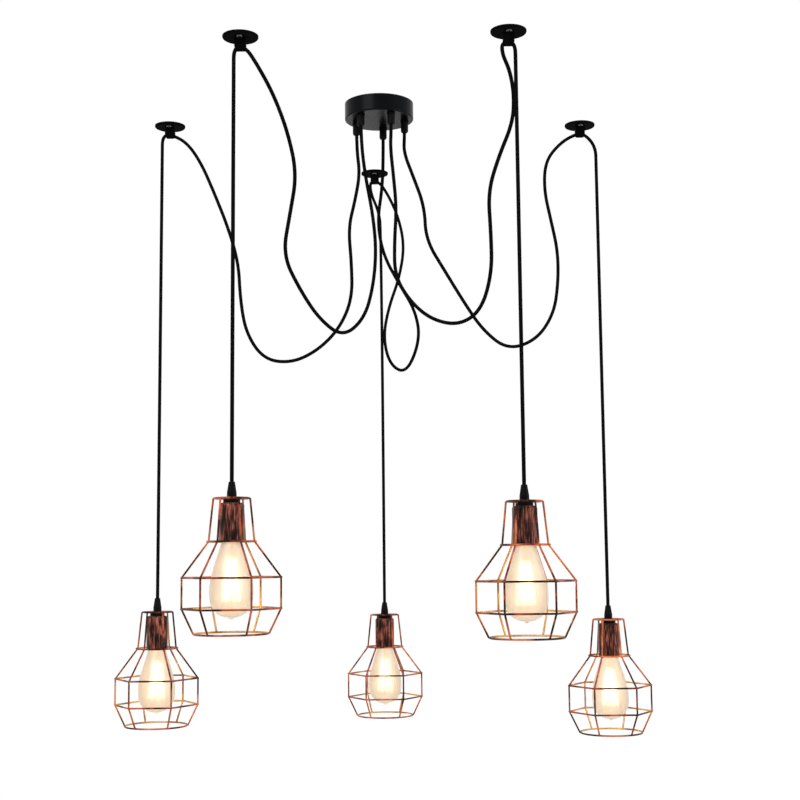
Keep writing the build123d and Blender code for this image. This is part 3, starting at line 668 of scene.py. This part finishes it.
def glow_material():
    """White-hot wire in warm white and slightly more orange stretches."""
    material, shader = new_material("hot_wire", Roughness=0.5, Emission_Strength=WIRE_GLOW)
    tones = two_tones(material, shader, noise(material, HEAT_SCALE), WIRE_ORANGE, WIRE_WHITE)
    link(material, tones, shader.inputs["Emission Color"])
    return material


def stem_glass_material():
    """Clear glass for the stem that carries the wires."""
    material, shader = new_material(
        "stem_glass", Roughness=0.08, Transmission_Weight=STEM_CLARITY, IOR=STEM_IOR
    )
    mottle = noise(material, STEM_MOTTLE_SCALE)
    two_tones(material, shader, mottle, (0.96, 0.94, 0.90), (1.0, 0.98, 0.95))
    return material


bulb_glass = bulb_glass_material()
hot_wire = glow_material()
stem_glass = stem_glass_material()
print(bulb_glass.name, hot_wire.name, stem_glass.name)

# %% [markdown]
# ## Finishes on the measured pieces
# Most pieces are right as they load and only need their finish. Naming all of them one by one would
# be long. A table from the start of a piece's name to its material is enough, because copies share a
# name and differ in their number. The grub screws in the rose's side are as dull a black as the
# hooks.

# %% Put the finishes on
FINISHES = {
    "rose_cover": rose_enamel,
    "rose_cord_grips": fitting_black,
    "rose_bracket": zinc_plate,
    "rose_grip_nuts": zinc_plate,
    "rose_side_screws": hook_enamel,
    "terminal_block": white_block,
    "hook_screws": dull_steel,
    "hook_": hook_enamel,
    "cord_grip_": fitting_black,
    "lampholder_": fitting_black,
    "holder_sleeve_": brushed_copper,
    "cage_": antique_copper,
    "bulb_cap_": cap_brass,
    "bulb_glass_": bulb_glass,
}
for node_name, node in nodes.items():
    starts = [start for start in FINISHES if node_name.startswith(start)]
    if not starts:
        continue
    finish = FINISHES[max(starts, key=len)]
    if not node.data.materials:
        node.data.materials.append(finish)
    for slot_index in range(len(node.material_slots)):
        node.material_slots[slot_index].material = finish
print("finishes on", sum(1 for node in nodes.values() if not node.hide_render), "pieces")

# %% [markdown]
# ## Hot wires in the bulb
# A drop bulb of this kind has a squirrel cage: one long tungsten wire runs up and down between two
# rings of small hooks round a glass stem. The measured model has a plain stem, its rod and eight
# separate wires. Bevelled curves could stand for them, but one mesh for a bulb is lighter: the wire
# is one zigzag tube with flat bends, its hooks run out from the rod as spokes, and the stem is a
# turned shape.

# %% Hot wires
WIRE_RADIUS = 0.00042
WIRE_SIDES = 8
WIRE_STEP = 0.02
HOOK_WIRE_RADIUS = 0.00022
HOOK_WIRE_SIDES = 6
ZIGZAG_LEGS = 16
TOP_RING_RADIUS = 0.0065
BOTTOM_RING_RADIUS = 0.0130
BEND_WIDTH_SHARE = 0.30
STEM_BASE_RADIUS = 0.0097
STEM_SIDES = 20
FILAMENT_TOP_SHARE = 0.36
STEM_SHAPE_SHARES = [
    (0.97, 0.00), (0.90, 0.05), (0.62, 0.14), (0.42, 0.22), (0.34, 0.30), (0.30, 0.345),
    (0.12, 0.355), (0.10, 0.60), (0.10, 0.985), (0.16, 0.992), (0.16, 1.0), (0.0, 1.0),
]


def turned_mesh(name, profile, sides):
    """A turned solid from (radius, height) points that end on the axis."""
    vertices, faces = [], []
    for radius, height in profile:
        for side in range(sides):
            angle = 2 * math.pi * side / sides
            vertices.append((radius * math.cos(angle), radius * math.sin(angle), height))
    for ring in range(len(profile) - 1):
        for side in range(sides):
            following = (side + 1) % sides
            low, high = ring * sides, (ring + 1) * sides
            faces.append((low + side, low + following, high + following, high + side))
    faces.append(tuple(reversed(range(sides))))
    mesh = bpy.data.meshes.new(name)
    mesh.from_pydata(vertices, [], faces)
    mesh.shade_smooth()
    return mesh


def zigzag_line(top, bottom):
    """One closed round of legs between the upper and the lower ring of hooks."""
    points = []
    for leg in range(ZIGZAG_LEGS):
        low_end = leg % 2
        radius = BOTTOM_RING_RADIUS if low_end else TOP_RING_RADIUS
        height = bottom if low_end else top
        for side in (-1, 1):
            angle = 2 * math.pi * (leg + side * BEND_WIDTH_SHARE / 2) / ZIGZAG_LEGS
            points.append(Vector((radius * math.cos(angle), radius * math.sin(angle), height)))
    return points


def joined(name, meshes):
    """One mesh from several, each with its own material."""
    vertices, faces, slots, materials = [], [], [], []
    for mesh in meshes:
        first = len(vertices)
        vertices += [vertex.co.copy() for vertex in mesh.vertices]
        faces += [tuple(first + index for index in face.vertices) for face in mesh.polygons]
        if mesh.materials[0] not in materials:
            materials.append(mesh.materials[0])
        slots += [materials.index(mesh.materials[0])] * len(mesh.polygons)
    whole = bpy.data.meshes.new(name)
    whole.from_pydata(vertices, [], faces)
    for material in materials:
        whole.materials.append(material)
    whole.polygons.foreach_set("material_index", slots)
    whole.shade_smooth()
    return whole


def filament_mesh(name, centre_x, centre_y, low, high):
    """Stem, rod, zigzag wire and its hooks, between a filament's lowest and highest points."""
    height = high - low
    profile = [
        (share * STEM_BASE_RADIUS, high - fall * height) for share, fall in STEM_SHAPE_SHARES
    ]
    stem = turned_mesh("stem", profile, STEM_SIDES)
    stem.materials.append(stem_glass)
    parts = [stem]
    top = high - FILAMENT_TOP_SHARE * height
    bends = zigzag_line(top, low + 2 * WIRE_RADIUS)
    wire_line = short_steps(bends + [bends[0]], WIRE_STEP)
    wire = tube_mesh("wire", wire_line, WIRE_RADIUS, WIRE_SIDES)
    wire.materials.append(hot_wire)
    parts.append(wire)
    for leg in range(ZIGZAG_LEGS):
        bend = (bends[2 * leg] + bends[2 * leg + 1]) / 2
        rod_point = Vector((0, 0, bend.z + WIRE_RADIUS))
        hook = tube_mesh("wire_hook", [rod_point, bend], HOOK_WIRE_RADIUS, HOOK_WIRE_SIDES)
        hook.materials.append(screw_steel)
        parts.append(hook)
    mesh = joined(name, parts)
    mesh.transform(Matrix.Translation((centre_x, centre_y, 0)))
    return mesh


hot_wires = {}
for number in LAMPS:
    low_corner, high_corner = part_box(f"bulb_filament_{number}")
    centre = (low_corner + high_corner) / 2
    piece_name = f"hot_wires_{number}"
    mesh = filament_mesh(piece_name, centre.x, centre.y, low_corner.z, high_corner.z)
    wires = add_piece(piece_name, mesh)
    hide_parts(f"bulb_filament_{number}")
    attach(wires, f"bulb_{number}")
    hot_wires[number] = wires
    print(wires.name, len(mesh.polygons), "faces")

# %% [markdown]
# ## Light from the bulbs
# The glowing wires are too thin to light anything without a lot of grain. A small warm lamp inside
# each bulb does it instead. It can't be seen itself, and it is the wires' child, so that it goes
# along when a lamp swings or a bulb comes out.

# %% Lamps in the bulbs
LIGHT_POWER = 0.9
LIGHT_COLOUR = (1.0, 0.60, 0.27)
LIGHT_RADIUS = 0.012
LIGHT_HEIGHT_SHARE = 0.3
for number, wires in hot_wires.items():
    low_corner, high_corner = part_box(f"bulb_filament_{number}")
    place = (low_corner + high_corner) / 2
    place.z = low_corner.z + LIGHT_HEIGHT_SHARE * (high_corner.z - low_corner.z)
    lamp_data = bpy.data.lights.new(f"glow_{number}", "POINT")
    lamp_data.energy = LIGHT_POWER
    lamp_data.color = LIGHT_COLOUR
    lamp_data.shadow_soft_size = LIGHT_RADIUS
    lamp = bpy.data.objects.new(f"glow_{number}", lamp_data)
    lamp.location = place
    bpy.context.scene.collection.objects.link(lamp)
    lamp.visible_camera = lamp.visible_glossy = lamp.visible_transmission = False
    lamp.parent = wires
    print(lamp.name, "at", round(place.z, 3))

# %% [markdown]
# ## Floor and world
# The picture is cut out on plain white. White light strong enough for that would wash out the black
# pieces. So the world is full white only where the eye sees it, straight, in a shine or through
# glass, and a calmer white where it only lights. The floor far below glows a little to the same
# rays, and keeps the lamps' faint shadows.

# %% Floor and world
FLOOR_HEIGHT = -2.3
FLOOR_SIZE = 40.0
FLOOR_WHITE = 0.85
FLOOR_MOTTLE = 0.02
FLOOR_MOTTLE_SCALE = 2.0
FLOOR_GLOW = 0.45
WORLD_LIGHT = 0.62
FULL_WHITE = (1.0, 1.0, 1.0, 1.0)


def seen_rays(owner):
    """One for rays from the eye, off a shiny piece or through glass, nought for the others."""
    paths = add_node(owner, "ShaderNodeLightPath").outputs
    seen = math_node(owner, "MAXIMUM", paths["Is Camera Ray"], paths["Is Glossy Ray"])
    return math_node(owner, "MAXIMUM", seen, paths["Is Transmission Ray"])


def floor_material():
    """A white floor that glows a little to the rays that are seen."""
    material, shader = new_material("floor", Roughness=0.9, Emission_Color=FULL_WHITE)
    mottle = noise(material, FLOOR_MOTTLE_SCALE)
    lighter = FLOOR_WHITE + FLOOR_MOTTLE
    tones = ramp(material, mottle, [(0.0, (FLOOR_WHITE,) * 3), (1.0, (lighter,) * 3)])
    link(material, tones, shader.inputs["Base Color"])
    glow = math_node(material, "MULTIPLY", seen_rays(material), FLOOR_GLOW)
    link(material, glow, shader.inputs["Emission Strength"])
    return material


def floor_square(size, height):
    """One square face."""
    half = size / 2
    corners = [(-half, -half), (half, -half), (half, half), (-half, half)]
    mesh = bpy.data.meshes.new("floor")
    mesh.from_pydata([(x, y, height) for x, y in corners], [], [(0, 1, 2, 3)])
    return mesh


def white_room():
    """A world that is full white where it is seen and calmer where it only lights."""
    world = bpy.data.worlds.new("white_room")
    world.use_nodes = True
    lighting = world.node_tree.nodes["Background"]
    lighting.inputs["Color"].default_value = FULL_WHITE
    lighting.inputs["Strength"].default_value = WORLD_LIGHT
    seen_white = add_node(world, "ShaderNodeBackground")
    seen_white.inputs["Color"].default_value = FULL_WHITE
    mix = add_node(world, "ShaderNodeMixShader")
    link(world, seen_rays(world), mix.inputs["Fac"])
    link(world, lighting.outputs["Background"], mix.inputs[1])
    link(world, seen_white.outputs["Background"], mix.inputs[2])
    link(world, mix.outputs["Shader"], world.node_tree.nodes["World Output"].inputs["Surface"])
    return world


floor = add_piece("floor", floor_square(FLOOR_SIZE, FLOOR_HEIGHT), floor_material())
bpy.context.scene.world = white_room()
print("world light", WORLD_LIGHT)

# %% [markdown]
# ## Studio lamps
# Even light from all sides makes round pieces look flat. One broad lamp in front on the left and a
# weaker one on the right give them their shape, and both are large so that no hard spot shows on
# the rose or the sleeves.

# %% Studio lamps
STUDIO_LAMPS = {
    "key": {"place": (-1.6, -2.2, 0.9), "size": 1.6, "power": 30.0},
    "side": {"place": (2.2, -1.0, -0.2), "size": 1.4, "power": 14.0},
}
LIGHT_AIM = Vector((0.0, 0.0, -0.5))
for name, values in STUDIO_LAMPS.items():
    data = bpy.data.lights.new(name, "AREA")
    data.energy = values["power"]
    data.size = values["size"]
    lamp = bpy.data.objects.new(name, data)
    lamp.location = values["place"]
    aim = LIGHT_AIM - lamp.location
    lamp.rotation_euler = aim.to_track_quat("-Z", "Y").to_euler()
    bpy.context.scene.collection.objects.link(lamp)
    lamp.visible_camera = False
bpy.context.scene.view_settings.view_transform = "Standard"
print("studio lamps", list(STUDIO_LAMPS))

# %% [markdown]
# ## Size
# The dressed light has to keep the measured model's size.


print("scene dressed")
